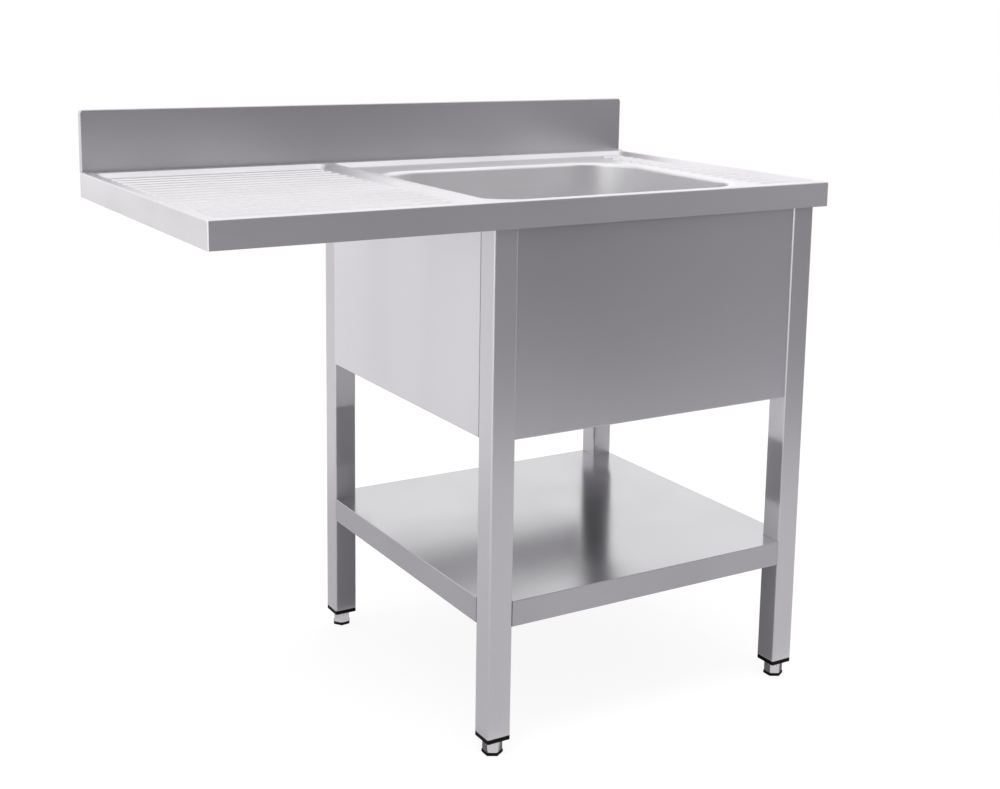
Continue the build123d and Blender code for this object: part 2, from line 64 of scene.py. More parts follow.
# Steps round a turned piece and a thread, and the angles above which an edge stays sharp
ROUND_STEPS = 72
THREAD_STEPS = 36
SHARP_ANGLE = math.radians(28)
FACET_ANGLE = math.radians(20)

# Points nearer than this are one, on turned pieces and on CAD solids
TURNED_MERGE = 0.001 * MM
SOLID_MERGE = 0.01 * MM

# Ground steel: share of the patches against the scratches, and how far tint and roughness swing with them
PATCH_SHARE = 0.78
STEEL_TINTS = (0.9, 1.1)
STEEL_SWING = 0.07

# Plated metal: tints and roughness, as factors, at the two ends of its cloud
PLATE_TINTS = (0.88, 1.06)
PLATE_ROUGHNESS = (0.8, 1.3)
CLOUD_SPAN = (0.3, 0.7)

# Black mouldings: tints, swing of the roughness, dull gloss, and depth and strength of the mould's grit
MOULD_TINTS = (0.7, 1.3)
MOULD_SWING = 0.12
MOULD_GLOSS = 0.12
GRIT_DEPTH = 0.1 * MM
GRIT_STRENGTH = 0.2

# Hexagons turned down: share of the flats left on the end face, and of the corners left on the sides
BOLT_FACE, BOLT_CORNER = 0.96, 0.98
SLEEVE_CORNER = 0.985
BACKNUT_FACE, BACKNUT_CORNER = 0.97, 0.985

# Radius of a bolt's tip as a share of its shank, and clearances in nuts, and in sleeves and the backnut
BOLT_TIP = 0.8
BOLT_CLEARANCE = 0.05 * MM
BORE_CLEARANCE = 0.1 * MM

# Points of a fastener beyond this share of its reach belong to its head
HEAD_SHARE = 0.9

# Pan heads: rounding as a share of the height, and the cutters of the cross as shares of the radius and the
# height, with half of each cutter above the head
HEAD_ROUND = 0.54
HEAD_ANGLES = [math.radians(degrees) for degrees in (90, 67, 45, 22, 0)]
SLOT_LENGTH, SLOT_WIDTH, SLOT_HEIGHT = 1.15, 0.26, 1.2

# Waste flange: rounding of its edge as a share of its height
FLANGE_ROUND = 0.5
FLANGE_ANGLES = [math.radians(degrees) for degrees in (0, 30, 60, 90)]

# Upward part of the direction above which the mirrored surroundings grow dimmer: 30 degrees up
DIMMING_START = math.sin(math.radians(30))

# Upright cards that show in the steel alone, as painted reflections of the room and painted shade under the
# unit and between its legs, in metres: name, colour, ends of the lower edge, upper level
UPRIGHT_CARDS = (
    ("front_card", "card_colour", (-1.3, -1.95, 0.0), (1.25, -1.6, 0.0), 2.4),
    ("side_card", "side_colour", (1.25, -1.6, 0.0), (3.6, -1.3, 0.0), 1.2),
    ("rear_shade", "dim_painted_shade_colour", (-0.06, 0.29, 0.4), (0.455, 0.29, 0.4), 0.5),
    # Painted shade that the legs' inner faces mirror, where the inside of the frame is in shade
    ("upper_left_flag", "shade_colour", (-0.105, 0.232, 0.3), (-0.04, 0.232, 0.3), 0.41),
    ("upper_right_flag", "shade_colour", (0.432, -0.3, 0.3), (0.432, -0.215, 0.3), 0.41),
    ("lower_left_flag", "shade_colour", (-0.105, 0.232, 0.02), (-0.04, 0.232, 0.02), 0.2),
    ("lower_right_flag", "shade_colour", (0.432, -0.3, 0.02), (0.432, -0.215, 0.02), 0.2),
    # Painted shade in front of the right rear leg, from dim to near black upwards, which the shelf mirrors as
    # a dark streak
    ("dim_rear_flag", "dim_painted_shade_colour", (0.441, 0.2626, 0.275), (0.4804, 0.2215, 0.275), 0.3),
    ("dark_rear_flag", "shade_colour", (0.441, 0.2626, 0.3), (0.4804, 0.2215, 0.3), 0.34),
    ("black_rear_flag", "rear_leg_painted_shade_colour", (0.441, 0.2626, 0.34), (0.4804, 0.2215, 0.34), 0.49),
)

# Level cards that show in the steel alone, as painted reflections of a grey ground and painted shade on it
# below the unit, in metres: name, colour, two opposite corners, level
LEVEL_CARDS = (
    ("near_ground", "ground_colour", (-0.6, -1.5), (3.0, -0.35), 0.002),
    ("far_ground", "side_colour", (-0.45, -2.6), (3.6, -1.5), 0.002),
    ("left_ground", "pale_colour", (-0.6, -2.2), (0.85, -1.3), 0.004),
    ("shade_on_ground", "shade_colour", (0.0, -0.2), (0.9, 0.8), 0.002),
    ("bay_ground", "ground_colour", (-1.0, -0.5), (-0.12, 1.0), 0.002),
)

# The box of painted highlight at the front left, a glowing card that only the steel mirrors, in metres: ends
# of its lower edge and its upper level
PAINTED_HIGHLIGHT_BOX = ((-2.6, -0.7, 0.0), (-1.4, -1.9, 0.0), 2.2)

# Painted shade on the ground beside a front foot, in metres from its middle: two opposite corners, and the
# level
FOOT_SHADE = ((-0.08, -0.014), (0.08, 0.08), 0.001)


def linear(hex_colour):
    """An sRGB hex colour as the linear values that shaders and colour properties take."""
    channels = [int(hex_colour[i:i + 2], 16) / 255 for i in (1, 3, 5)]
    return tuple(c / 12.92 if c <= 0.04045 else ((c + 0.055) / 1.055) ** 2.4 for c in channels)


def colour_property(label, description, hex_colour):
    """A colour swatch whose default is an sRGB hex value."""
    return FloatVectorProperty(
        name=label, description=description, subtype="COLOR", min=0.0, max=1.0, default=linear(hex_colour)
    )


def length_property(label, description, millimetres):
    """A length whose default is given in millimetres."""
    return FloatProperty(name=label, description=description, unit="LENGTH", default=millimetres * MM)


def share_property(label, description, share):
    """A share from none to all."""
    return FloatProperty(
        name=label, description=description, subtype="FACTOR", min=0.0, max=1.0, default=share
    )


def angle_property(label, description, degrees):
    """An angle whose default is given in degrees."""
    return FloatProperty(name=label, description=description, subtype="ANGLE", default=math.radians(degrees))


class SinkFinish(PropertyGroup):
    """Colours and grain of the steel, plastic and rubber."""

    sheet_colour: colour_property("Worktop", "Ground stainless sheet of the worktop", "#DEDCDF")
    # Painted shade: the splashback's sheet is painted greyer than the same sheet on the worktop
    shaded_upstand_colour: colour_property("Splashback", "Ground stainless sheet of the splashback", "#C6C4C8")
    panel_colour: colour_property("Panels", "Ground stainless sheet of the panels", "#DDDBDF")
    tube_colour: colour_property("Legs", "Brushed stainless of the legs and the feet's sleeves", "#D7D5D8")
    # Painted shade: the shelf's sheet is painted darker, as under the worktop
    shaded_shelf_colour: colour_property("Shelf", "Semi-bright stainless sheet of the lower shelf", "#BDBCBF")
    bowl_colour: colour_property("Bowl", "Satin drawn stainless of the bowl", "#DDDCDE")
    mill_colour: colour_property("Channels", "Mill finish stainless of the channels and plates", "#C8C9CB")
    zinc_colour: colour_property("Zinc", "Bright zinc plating of bolts, nuts, screws and studs", "#CDD1D4")
    chrome_colour: colour_property("Waste", "Polished waste fitting and standpipe", "#E4E4E6")
    plastic_colour: colour_property("Plastic", "Black plastic of inserts, bases and backnut", "#0B0B0C")
    rubber_colour: colour_property("Rubber", "Black moulded seal rubber", "#1B1A1A")
    grain_width: length_property("Grain width", "Width of one scratch of the ground finish", 3.0)
    grain_length: length_property("Grain length", "Length of one scratch of the ground finish", 300.0)
    patch_width: length_property("Patch width", "Width of the soft patches that rolling leaves", 150.0)
    patch_height: length_property("Patch height", "Height of those soft patches", 600.0)
    scatter: share_property("Scatter", "Share of the light that the grain throws in all directions", 0.12)
    tube_scatter: share_property("Leg scatter", "The same share for the brushed legs", 0.2)
    bowl_scatter: share_property("Bowl scatter", "The same share for the bowl's satin", 0.28)


class SinkDetail(PropertyGroup):
    """Sizes of the small turned and threaded pieces."""

    stud_pitch: length_property("Stud pitch", "Pitch of the foot stud's thread", 1.5)
    stud_depth: length_property("Stud depth", "Depth of the foot stud's thread", 0.9)
    seat_radius: length_property("Seat radius", "Radius of the seat in the foot's sleeve", 10.0)
    seat_height: length_property("Seat height", "Height of the seat in the foot's sleeve", 3.0)
    outlet_pitch: length_property("Outlet pitch", "Pitch of the waste outlet's pipe thread", 2.309)
    outlet_depth: length_property("Outlet depth", "Depth of the waste outlet's pipe thread", 1.4)
    outlet_radius: length_property("Outlet radius", "Outer radius of the waste outlet's thread", 23.9)
    neck_radius: length_property("Neck radius", "Radius of the waste's neck through the bowl", 24.8)
    bore_radius: length_property("Bore radius", "Radius of the waste's bore", 21.0)
    chamfer: length_property("Chamfer", "Height of the turned chamfer on a hexagon's end", 1.0)
    bolt_flats: length_property("Bolt flats", "Width across the flats of bolt heads and nuts", 13.0)
    bolt_head: length_property("Bolt head", "Height of a bolt's head", 5.3)
    bolt_radius: length_property("Bolt radius", "Radius of a bolt's shank", 4.0)
    screw_radius: length_property("Screw radius", "Radius of a sheet metal screw's shank", 2.1)
    screw_head_radius: length_property("Screw head radius", "Radius of a pan head", 4.2)
    screw_head: length_property("Screw head", "Height of a pan head", 2.6)


class SinkStage(PropertyGroup):
    """Camera, surroundings and soft light."""

    lens: FloatProperty(name="Lens", description="Focal length in millimetres", default=52.61)
    camera_place: FloatVectorProperty(
        name="Camera", description="Where the camera stands", subtype="TRANSLATION",
        default=(-1.1421, -2.0525, 1.1167)
    )
    yaw: angle_property("Yaw", "Turn to the right from +Y", 30.87)
    pitch: angle_property("Pitch", "Downward tilt", 9.887)
    roll: angle_property("Roll", "Roll to the left", 0.861)
    frame_shift: FloatProperty(name="Shift", description="Upward shift of the lens, in widths", default=-0.13)
    floor_size: length_property("Floor", "Side of the square floor", 14000.0)
    floor_colour: colour_property("Floor colour", "Grey of the floor below its glow", "#B5B4B6")
    floor_white: FloatProperty(name="Floor white", description="Brightness of the floor's glow", default=1.46)
    floor_glow: share_property("Floor glow", "Share of the floor that stays white in shade", 0.6)
    floor_mirrored: share_property("Mirrored glow", "The same share, seen in the steel", 0.43)
    mirrored_sky: FloatProperty(
        name="Sky", description="Brightness of the surroundings seen in the steel, low down", default=1.24
    )
    mirrored_zenith: FloatProperty(
        name="Zenith", description="Brightness of the surroundings seen in the steel, overhead", default=1.08
    )
    fill_light: FloatProperty(name="Fill", description="Strength of the surroundings as light", default=0.75)
    lamp_power: FloatProperty(
        name="Lamp", description="Power of the soft lamp above", subtype="POWER", default=60.0
    )
    lamp_width: length_property("Lamp width", "Side of the soft lamp along X", 2600.0)
    lamp_depth: length_property("Lamp depth", "Side of the soft lamp along Y", 2000.0)
    lamp_place: FloatVectorProperty(
        name="Lamp place", description="Where the soft lamp hangs", subtype="TRANSLATION",
        default=(-0.5, -0.4, 2.9)
    )
    # Painted highlight: a glowing box that only the steel mirrors, and that lights nothing
    highlight_box_strength: FloatProperty(
        name="Soft box", description="Brightness of the soft box at the front left", default=1.8
    )
    highlight_box_colour: colour_property("Soft box colour", "White of the soft box", "#FFFFFF")
    # The greys below colour cards that only the steel mirrors: painted reflections of the room and the ground
    # in front, and painted shade below the unit and at its legs
    card_colour: colour_property("Card", "Grey of the card in front", "#646267")
    side_colour: colour_property("Side card", "Grey of the card and the ground at the front right", "#7C7A7F")
    ground_colour: colour_property("Ground", "Grey of the ground in front and in the bay", "#D6D4D8")
    pale_colour: colour_property("Pale ground", "Near white of the ground at the front left", "#F9F9F9")
    # Painted shade below the worktop at the rear, which the shelf mirrors
    dim_painted_shade_colour: colour_property("Dusk", "Grey of the shade below the worktop at the rear", "#807E83")
    shade_colour: colour_property("Shade", "Grey of the shade below the unit and at its legs", "#605E63")
    # Painted shade: the darkest grey, mirrored in the shelf at the right rear leg
    rear_leg_painted_shade_colour: colour_property("Flag", "Dark grey of the flag at the right rear leg", "#3E3D40")


class SinkSettings(PropertyGroup):
    """All that can be set."""

    finish: PointerProperty(type=SinkFinish)
    detail: PointerProperty(type=SinkDetail)
    stage: PointerProperty(type=SinkStage)


def add_node(tree, kind, settings=None, inputs=None):
    """Add one node, set its properties, and set each named input or link it to a socket."""
    node = tree.nodes.new(kind)
    for name, value in (settings or {}).items():
        setattr(node, name, value)
    for name, value in (inputs or {}).items():
        if isinstance(value, bpy.types.NodeSocket):
            tree.links.new(value, node.inputs[name])
        else:
            node.inputs[name].default_value = value
    return node


def add_math(tree, operation, *values):
    """Add a math node on numbers or sockets, and return its result."""
    node = add_node(tree, "ShaderNodeMath", {"operation": operation}, dict(enumerate(values)))
    return node.outputs["Value"]


def add_object(name, data):
    """Put a mesh, a camera or a lamp in the scene."""
    thing = bpy.data.objects.new(name, data)
    bpy.context.scene.collection.objects.link(thing)
    return thing


def new_material(name):
    """A node material with nothing in it."""
    material = bpy.data.materials.new(name)
    material.use_nodes = True
    material.node_tree.nodes.clear()
    return material


def add_tint(tree, share, colour, factors):
    """Mix a darker and a lighter tint of a linear colour by a socket's share, and return the result."""
    dark, light = [(*[min(1.0, c * factor) for c in colour], 1.0) for factor in factors]
    return add_node(tree, "ShaderNodeMix", {"data_type": "RGBA"}, {0: share, 6: dark, 7: light}).outputs[2]


def ground_steel(name, colour, grain, roughness, stretch, scatter=None):
    """Stainless steel ground or brushed along the grain's axis: the eye sees faint parallel lines, soft
    patches of light and dark, and reflections drawn out by the stretch. The real scratches are under 0.1 mm
    wide, so they are drawn as wide as the render can show."""
    finish = bpy.context.scene.sink_unit.finish
    material = new_material(name)
    tree = material.node_tree
    place = add_node(tree, "ShaderNodeTexCoord").outputs["Object"]
    grain_scale = [1 / finish.grain_width] * 3
    grain_scale["XYZ".index(grain)] = 1 / finish.grain_length
    patch_scale = (1 / finish.patch_width, 1 / finish.patch_width, 1 / finish.patch_height)
    along = add_node(tree, "ShaderNodeMapping", inputs={"Vector": place, "Scale": grain_scale})
    lines = add_node(tree, "ShaderNodeTexNoise", inputs={
        "Vector": along.outputs["Vector"], "Scale": 1.0, "Detail": 3.0, "Roughness": 0.65})
    wide = add_node(tree, "ShaderNodeMapping", inputs={"Vector": place, "Scale": patch_scale})
    patches = add_node(tree, "ShaderNodeTexNoise", inputs={
        "Vector": wide.outputs["Vector"], "Scale": 1.0, "Detail": 1.0, "Roughness": 0.4})
    both = add_node(tree, "ShaderNodeMix", settings={"data_type": "FLOAT"}, inputs={
        0: PATCH_SHARE, 2: lines.outputs["Fac"], 3: patches.outputs["Fac"]})
    tint = add_tint(tree, both.outputs[0], colour, STEEL_TINTS)
    rough = add_node(tree, "ShaderNodeMapRange", inputs={
        "Value": both.outputs[0], "To Min": roughness + STEEL_SWING, "To Max": roughness - STEEL_SWING})
    tangent = add_node(tree, "ShaderNodeTangent", settings={"direction_type": "RADIAL", "axis": grain})
    shader = add_node(tree, "ShaderNodeBsdfPrincipled", inputs={
        "Base Color": tint, "Metallic": 1 - (scatter or finish.scatter),
        "Roughness": rough.outputs["Result"], "Anisotropic": stretch, "Tangent": tangent.outputs["Tangent"]})
    add_node(tree, "ShaderNodeOutputMaterial", inputs={"Surface": shader.outputs["BSDF"]})
    return material


def plated_metal(name, colour, roughness, speckle):
    """Plated or polished metal: the eye sees an even bright skin with a fine cloud of tarnish."""
    material = new_material(name)
    tree = material.node_tree
    place = add_node(tree, "ShaderNodeTexCoord").outputs["Object"]
    cloud = add_node(tree, "ShaderNodeTexNoise", inputs={
        "Vector": place, "Scale": 1 / speckle, "Detail": 4.0})
    tint = add_tint(tree, cloud.outputs["Fac"], colour, PLATE_TINTS)
    rough = add_node(tree, "ShaderNodeMapRange", inputs={
        "Value": cloud.outputs["Fac"], "From Min": CLOUD_SPAN[0], "From Max": CLOUD_SPAN[1],
        "To Min": roughness * PLATE_ROUGHNESS[0], "To Max": roughness * PLATE_ROUGHNESS[1]})
    shader = add_node(tree, "ShaderNodeBsdfPrincipled", inputs={
        "Base Color": tint, "Metallic": 1.0, "Roughness": rough.outputs["Result"]})
    add_node(tree, "ShaderNodeOutputMaterial", inputs={"Surface": shader.outputs["BSDF"]})
    return material


def moulded_black(name, colour, roughness, grit):
    """Black moulded plastic or rubber: the eye sees a dull skin with the mould's fine grit in its gloss."""
    material = new_material(name)
    tree = material.node_tree
    place = add_node(tree, "ShaderNodeTexCoord").outputs["Object"]
    grain = add_node(tree, "ShaderNodeTexNoise", inputs={"Vector": place, "Scale": 1 / grit, "Detail": 2.0})
    tint = add_tint(tree, grain.outputs["Fac"], colour, MOULD_TINTS)
    rough = add_node(tree, "ShaderNodeMapRange", inputs={
        "Value": grain.outputs["Fac"], "To Min": roughness - MOULD_SWING, "To Max": roughness + MOULD_SWING})
    bump = add_node(tree, "ShaderNodeBump", inputs={
        "Height": grain.outputs["Fac"], "Strength": GRIT_STRENGTH, "Distance": GRIT_DEPTH})
    shader = add_node(tree, "ShaderNodeBsdfPrincipled", inputs={
        "Base Color": tint, "Roughness": rough.outputs["Result"],
        "Specular IOR Level": MOULD_GLOSS, "Normal": bump.outputs["Normal"]})
    add_node(tree, "ShaderNodeOutputMaterial", inputs={"Surface": shader.outputs["BSDF"]})
    return material


def dress(material, *nodes):
    """Give CAD pieces their finish."""
    for node in nodes:
        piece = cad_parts[node]
        piece.data.materials.clear()
        piece.data.materials.append(bpy.data.materials[material])


def hexagon_radius(angle, flats):
    """Distance from the middle of a hexagon to its side, at an angle from the middle of a side."""
    return flats / 2 / math.cos((angle + math.pi / 6) % (math.pi / 3) - math.pi / 6)


def turned_mesh(name, centre, profile, turn=0.0):
    """A closed solid of rings from a profile of (height, radius, flats), each ring round where flats is 0 and
    otherwise a hexagon that is turned down to the radius. Radius 0 is a point on the axis."""
    points, faces = [], []
    for height, radius, flats in profile:
        for step in range(ROUND_STEPS):
            angle = 2 * math.pi * step / ROUND_STEPS + turn
            reach = min(radius, hexagon_radius(angle - turn, flats)) if flats else radius
            points.append((centre[0] + reach * math.cos(angle), centre[1] + reach * math.sin(angle), height))
    for ring in range(len(profile)):
        above = (ring + 1) % len(profile)
        for step in range(ROUND_STEPS):
            beside = (step + 1) % ROUND_STEPS
            faces.append((ring * ROUND_STEPS + step, ring * ROUND_STEPS + beside,
                          above * ROUND_STEPS + beside, above * ROUND_STEPS + step))
    mesh = bpy.data.meshes.new(name)
    mesh.from_pydata(points, [], faces)
    work = bmesh.new()
    work.from_mesh(mesh)
    bmesh.ops.remove_doubles(work, verts=work.verts, dist=TURNED_MERGE)
    work.to_mesh(mesh)
    work.free()
    return mesh


def joined(name, *meshes):
    """Several meshes as one."""
    points, faces = [], []
    for mesh in meshes:
        start = len(points)
        points += [tuple(v.co) for v in mesh.vertices]
        faces += [tuple(start + i for i in p.vertices) for p in mesh.polygons]
    one = bpy.data.meshes.new(name)
    one.from_pydata(points, [], faces)
    return one


def finish_piece(mesh, name, material, body, node, sharp=SHARP_ANGLE):
    """Put a mesh in the scene as a finished piece that stands for a CAD node and rides on its body."""
    work = bmesh.new()
    work.from_mesh(mesh)
    bmesh.ops.recalc_face_normals(work, faces=work.faces)
    work.to_mesh(mesh)
    work.free()
    mesh.materials.clear()
    mesh.materials.append(bpy.data.materials[material])
    mesh.polygons.foreach_set("use_smooth", [True] * len(mesh.polygons))
    mesh.set_sharp_from_angle(angle=sharp)
    mesh.validate()
    piece = add_object(name, mesh)
    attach(piece, body)
    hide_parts(node)
    return piece


def middle_of(node):
    """The middle of a CAD node in plan, with its lowest and highest level."""
    low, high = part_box(node)
    return ((low.x + high.x) / 2, (low.y + high.y) / 2), low.z, high.z


def half_width(node):
    """Half a CAD node's width along X, which is the radius of a round one."""
    low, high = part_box(node)
    return (high.x - low.x) / 2


def corners_of(node):
    """Every corner point of a CAD node's mesh, in the frame."""
    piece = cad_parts[node]
    return [piece.matrix_world @ vertex.co for vertex in piece.data.vertices]


def hexagon_of(node, centre):
    """A CAD hexagon's width across its flats and its turn, from its outermost corner."""
    far = max(corners_of(node), key=lambda p: math.hypot(p.x - centre[0], p.y - centre[1]))
    flats = 2 * math.hypot(far.x - centre[0], far.y - centre[1]) * math.cos(math.pi / 6)
    return flats, math.atan2(far.y - centre[1], far.x - centre[0]) + math.pi / 6


def corner_reach(flats):
    """Distance from the middle of a hexagon to its corner."""
    return flats / math.sqrt(3)


def separate_solids(node):
    """The corner points of each separate solid of a CAD node."""
    work = bmesh.new()
    work.from_mesh(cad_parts[node].data)
    work.transform(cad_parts[node].matrix_world)
    bmesh.ops.remove_doubles(work, verts=work.verts, dist=SOLID_MERGE)
    left, solids = set(work.verts), []
    while left:
        reach, solid = [left.pop()], []
        while reach:
            vertex = reach.pop()
            solid.append(vertex.co.copy())
            near = [edge.other_vert(vertex) for edge in vertex.link_edges]
            fresh = [other for other in near if other in left]
            left.difference_update(fresh)
            reach += fresh
        solids.append(solid)
    work.free()
    return solids


def fastener_place(solid):
    """Where a screw's or bolt's head begins, which way it is driven, and its length."""
    low = Vector([min(p[axis] for p in solid) for axis in range(3)])
    high = Vector([max(p[axis] for p in solid) for axis in range(3)])
    middle, size = (low + high) / 2, high - low
    axis = max(range(3), key=lambda a: size[a])
    across = [a for a in range(3) if a != axis]
    reach = [math.hypot(p[across[0]] - middle[across[0]], p[across[1]] - middle[across[1]]) for p in solid]
    head = [p[axis] for p, r in zip(solid, reach) if r > HEAD_SHARE * max(reach)]
    head_is_high = sum(head) / len(head) > middle[axis]
    heading = Vector((0, 0, 0))
    heading[axis] = -1 if head_is_high else 1
    return middle - heading * size[axis] / 2, heading, size[axis]


def end_tree(tree, geometry, material):
    """Make a geometry tree's copies real, coat them, and give the whole tree back."""
    real = add_node(tree, "GeometryNodeRealizeInstances", inputs={"Geometry": geometry})
    coated = add_node(tree, "GeometryNodeSetMaterial", inputs={
        "Geometry": real.outputs["Geometry"], "Material": material})
    add_node(tree, "NodeGroupOutput", inputs={"Geometry": coated.outputs["Geometry"]})
    return tree


def thread_tree():
    """Geometry nodes that wind the V-shaped ridge of a thread."""
    tree = bpy.data.node_groups.new("wound_thread", "GeometryNodeTree")
    for label in ("Core Radius", "Pitch", "Depth", "Length"):
        tree.interface.new_socket(label, in_out="INPUT", socket_type="NodeSocketFloat")
    tree.interface.new_socket("Material", in_out="INPUT", socket_type="NodeSocketMaterial")
    tree.interface.new_socket("Geometry", in_out="OUTPUT", socket_type="NodeSocketGeometry")
    sizes = add_node(tree, "NodeGroupInput").outputs
    turns = add_math(tree, "DIVIDE", sizes["Length"], sizes["Pitch"])
    path = add_node(tree, "GeometryNodeCurveSpiral", inputs={
        "Resolution": THREAD_STEPS, "Rotations": turns, "Start Radius": sizes["Core Radius"],
        "End Radius": sizes["Core Radius"], "Height": sizes["Length"]})
    upright = add_node(tree, "GeometryNodeSetCurveNormal", settings={"mode": "Z_UP"}, inputs={
        "Curve": path.outputs["Curve"]})
    width = add_math(tree, "MULTIPLY", sizes["Depth"], 2.0)
    half = add_math(tree, "MULTIPLY", sizes["Pitch"], 0.5)
    crest = add_node(tree, "GeometryNodeCurvePrimitiveQuadrilateral", settings={"mode": "KITE"}, inputs={
        "Width": width, "Bottom Height": half, "Top Height": half})
    ridge = add_node(tree, "GeometryNodeCurveToMesh", inputs={
        "Curve": upright.outputs["Curve"], "Profile Curve": crest.outputs["Curve"], "Fill Caps": True})
    return end_tree(tree, ridge.outputs["Mesh"], sizes["Material"])


def copies_tree():
    """Geometry nodes that set a copy of one fastener on each point, turned to the point's heading."""
    tree = bpy.data.node_groups.new("placed_copies", "GeometryNodeTree")
    tree.interface.new_socket("Geometry", in_out="INPUT", socket_type="NodeSocketGeometry")
    tree.interface.new_socket("Piece", in_out="INPUT", socket_type="NodeSocketObject")
    tree.interface.new_socket("Material", in_out="INPUT", socket_type="NodeSocketMaterial")
    tree.interface.new_socket("Geometry", in_out="OUTPUT", socket_type="NodeSocketGeometry")
    given = add_node(tree, "NodeGroupInput").outputs
    piece = add_node(tree, "GeometryNodeObjectInfo", inputs={"Object": given["Piece"]})
    heading = add_node(tree, "GeometryNodeInputNamedAttribute", settings={
        "data_type": "FLOAT_VECTOR"}, inputs={"Name": "heading"})
    turn = add_node(tree, "FunctionNodeAlignRotationToVector", settings={"axis": "Z"}, inputs={
        "Vector": heading.outputs["Attribute"]})
    copies = add_node(tree, "GeometryNodeInstanceOnPoints", inputs={
        "Points": given["Geometry"], "Instance": piece.outputs["Geometry"],
        "Rotation": turn.outputs["Rotation"]})
    return end_tree(tree, copies.outputs["Instances"], given["Material"])


def run_tree(tree, values, mesh=None):
    """Run a geometry tree with named inputs on a mesh, and return the result as a plain mesh."""
    holder = add_object("tree_holder", mesh or bpy.data.meshes.new("tree_holder"))
    modifier = holder.modifiers.new(tree.name, "NODES")
    modifier.node_group = tree
    sockets = {item.name: item.identifier for item in tree.interface.items_tree if item.in_out == "INPUT"}
    for name, value in values.items():
        modifier[sockets[name]] = value
    made = holder.evaluated_get(bpy.context.evaluated_depsgraph_get())
    result = bpy.data.meshes.new_from_object(made)
    bpy.data.objects.remove(holder)
    return result


def place_copies(node, name, places, pattern):
    """Set copies of a fastener's mesh at its places, as one piece that stands for a CAD node."""
    points = bpy.data.meshes.new(name)
    points.from_pydata([place for place, heading in places], [], [])
    heading = points.attributes.new("heading", "FLOAT_VECTOR", "POINT")
    heading.data.foreach_set("vector", [part for place, way in places for part in way])
    piece = add_object(name, pattern)
    zinc = bpy.data.materials["bright_zinc_plate"]
    mesh = run_tree(copies_tree(), {"Piece": piece, "Material": zinc}, points)
    bpy.data.objects.remove(piece)
    finish_piece(mesh, name, zinc.name, "frame", node)


class SINK_OT_finishes(Operator):
    """Make every steel, plastic and rubber finish"""

    bl_idname = "sink.finishes"
    bl_label = "Finishes"

    def execute(self, context):
        finish = context.scene.sink_unit.finish
        # Ground worktop sheet: pale and soft, so that ribs are faint bands and nothing is mirrored sharply
        ground_steel("ground_steel_sheet", finish.sheet_colour, grain="X", roughness=0.43, stretch=0.2)
        # The same sheet standing up, with its colour painted greyer as painted shade for the room in front of
        # it that it mirrors
        ground_steel("shaded_ground_steel_upstand", finish.shaded_upstand_colour, grain="X", roughness=0.32, stretch=0.3)
        # Ground front sheet: an even mid grey, with light drawn out up and down across the level scratches
        ground_steel("ground_steel_front_panel", finish.panel_colour, grain="X", roughness=0.32, stretch=0.5)
        # Ground side sheet: the same finish with its scratches from front to rear
        ground_steel("ground_steel_side_panel", finish.panel_colour, grain="Y", roughness=0.36, stretch=0.5)
        # Tube brushed along its length: each face is one soft tone, lighter or darker than its neighbour
        ground_steel("brushed_steel_tube", finish.tube_colour, grain="Z", roughness=0.38, stretch=0.7,
                     scatter=finish.tube_scatter)
        # Semi-bright shelf sheet: it mirrors the legs and the panels above as long blurred streaks, and its
        # colour is painted darker as painted shade under the worktop
        ground_steel("shaded_semi_bright_steel_shelf", finish.shaded_shelf_colour, grain="X", roughness=0.19, stretch=0.5)
        # Drawn bowl: an even satin that shades softly round its corners
        ground_steel("satin_drawn_steel_bowl", finish.bowl_colour, grain="X", roughness=0.36, stretch=0.0,
                     scatter=finish.bowl_scatter)
        # Mill finish of the hidden channels: duller and greyer than the ground sheet
        ground_steel("mill_steel_channel", finish.mill_colour, grain="X", roughness=0.42, stretch=0.2)
        # Turned feet: bright, with a hard change of tone from facet to facet
        ground_steel("turned_steel_foot", finish.tube_colour, grain="Z", roughness=0.16, stretch=0.3)
        # Bright zinc on fasteners: a cool, slightly clouded shine
        plated_metal("bright_zinc_plate", finish.zinc_colour, roughness=0.28, speckle=4 * MM)
        # Polished chrome on the waste: clear reflections with hardly a cloud
        plated_metal("polished_chrome_plate", finish.chrome_colour, roughness=0.1, speckle=30 * MM)
        # Black plastic: near black with a dull, gritty gloss
        moulded_black("moulded_black_plastic", finish.plastic_colour, roughness=0.55, grit=0.8 * MM)
        # Seal rubber: a little greyer and almost without gloss
        moulded_black("moulded_seal_rubber", finish.rubber_colour, roughness=0.68, grit=1.2 * MM)
        return {"FINISHED"}


class SINK_OT_worktop(Operator):
    """Finish the worktop and the splashback"""

    bl_idname = "sink.worktop"
    bl_label = "Worktop"

    def execute(self, context):
        dress("ground_steel_sheet", "worktop")
        dress("shaded_ground_steel_upstand", "splashback")
        return {"FINISHED"}


class SINK_OT_bowl(Operator):
    """Finish the bowl"""

    bl_idname = "sink.bowl"
    bl_label = "Bowl"

    def execute(self, context):
        dress("satin_drawn_steel_bowl", "sink_bowl")
        return {"FINISHED"}


class SINK_OT_frame(Operator):
    """Finish the legs, and the channels and plates that join them to the worktop"""

    bl_idname = "sink.frame"
    bl_label = "Leg frame"

    def execute(self, context):
        channels = [f"{place}_channel" for place in ("front", "rear", "left", "centre", "right", "shelf")]
        dress("brushed_steel_tube", *[f"leg_{corner}" for corner in CORNERS])
        dress("mill_steel_channel", *channels, *[f"leg_plate_{corner}" for corner in CORNERS])
        return {"FINISHED"}


class SINK_OT_panels(Operator):
    """Finish the three panels round the bowl and the lower shelf"""

    bl_idname = "sink.panels"
    bl_label = "Panels and shelf"

    def execute(self, context):
        dress("ground_steel_front_panel", "front_panel")
        dress("ground_steel_side_panel", "left_panel", "right_panel")
        dress("shaded_semi_bright_steel_shelf", "lower_shelf")
        return {"FINISHED"}


